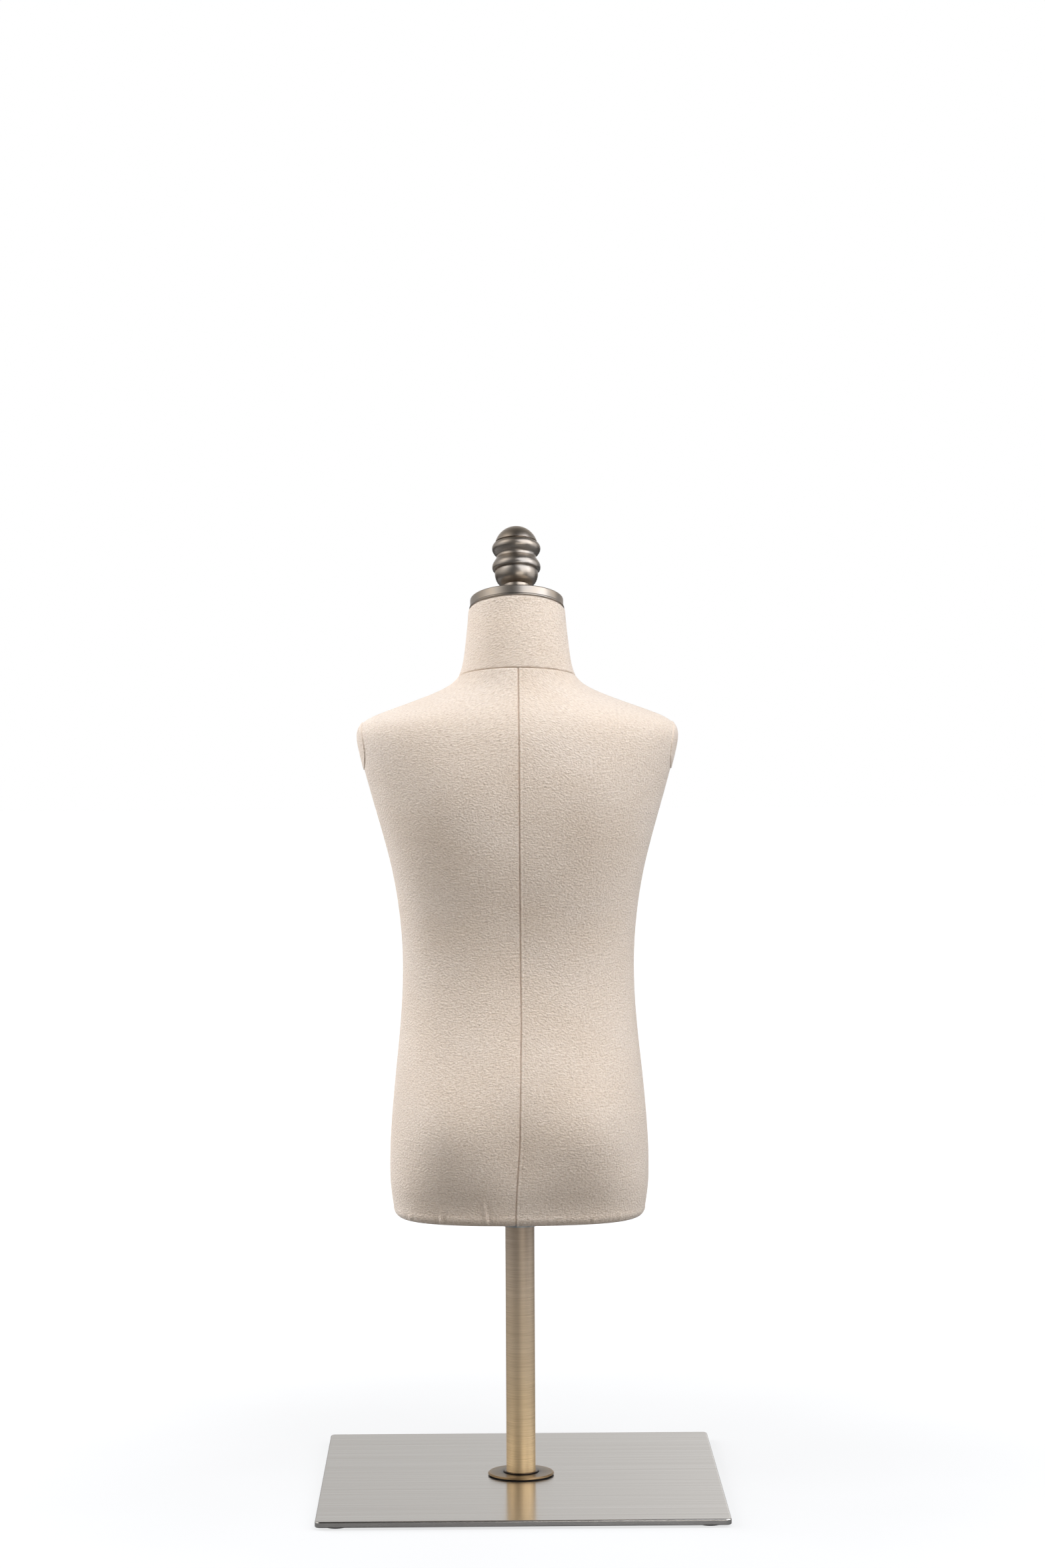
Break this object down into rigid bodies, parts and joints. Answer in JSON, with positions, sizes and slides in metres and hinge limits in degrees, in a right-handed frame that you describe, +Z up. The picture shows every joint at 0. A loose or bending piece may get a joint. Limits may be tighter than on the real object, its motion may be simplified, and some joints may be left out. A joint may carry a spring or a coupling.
{
  "type": "dress form mannequin",
  "caption": "Child-size fabric-covered torso form with metal neck cap and finial, height-adjustable on a round brass pole with a flat square metal base.",
  "frame": {"origin": "on the floor under the middle of the square base, on the pole's axis", "axes": "+Z up along the pole, -Y towards the back of the form, +Y towards its front, +X to the right seen from behind"},
  "size_m": [0.3, 0.3, 0.7254],
  "materials": {
    "satin_nickel": "brushed along the plate's width, satin",
    "antique_brass": "antique brass, polished, lacquered",
    "pewter": "dark antique nickel, polished",
    "linen": "natural plain-woven linen-cotton with slubs",
    "black_rubber": "matt",
    "black_nylon": "matt",
    "white_nylon": "matt",
    "black_plastic": "moulded, fine grain",
    "zinc_steel": "zinc plated",
    "plywood": "sanded birch plywood",
    "beech": "sanded",
    "fibreglass": "laid glass fibre in resin"
  },
  "bodies": {
    "base": {"base_plate": "satin_nickel", "foot_back_left": "black_rubber", "foot_back_right": "black_rubber", "foot_front_left": "black_rubber", "foot_front_right": "black_rubber", "swivel_washer": "black_nylon"},
    "pole": {"base_bolt": "zinc_steel", "pole_flange": "antique_brass", "pole_plug": "zinc_steel", "pole_top_cap": "black_nylon", "pole_tube": "antique_brass"},
    "torso": {"bottom_board": "plywood", "bottom_cover": "linen", "cover_arm_left": "linen", "cover_arm_right": "linen", "cover_back_left": "linen", "cover_back_right": "linen", "cover_front": "linen", "cover_neck": "linen", "finial": "pewter", "finial_stud": "zinc_steel", "neck_block": "beech", "neck_cap": "pewter", "neck_tee_nut": "zinc_steel", "pole_socket": "zinc_steel", "shell_back": "fibreglass", "shell_front": "fibreglass", "socket_screws": "zinc_steel"},
    "lock_pad_carrier": {"lock_pad": "white_nylon"},
    "lock_handle": {"lock_screw": "zinc_steel", "lock_knob": "black_plastic"}
  },
  "joints": [
    {"name": "pole_swivel", "type": "hinge", "parent": "base", "child": "pole", "pos_m": [0, 0, 0.0065], "axis": [0, 0, 1], "continuous": true},
    {"name": "torso_height", "type": "slide", "parent": "pole", "child": "torso", "axis": [0, 0, 1], "range_m": [-0.06, 0.18]},
    {"name": "lock_pad_slide", "type": "slide", "parent": "torso", "child": "lock_pad_carrier", "axis": [0, 1, 0], "range_m": [0, 0.004]},
    {"name": "lock_turn", "type": "hinge", "parent": "lock_pad_carrier", "child": "lock_handle", "pos_m": [0, 0.03, 0.1935], "axis": [0, 1, 0], "range_deg": [0, 1440]}
  ],
  "couplings": [
    {"joint": "lock_turn", "follows": "lock_pad_slide", "rad_per_m": 6283.2}
  ]
}
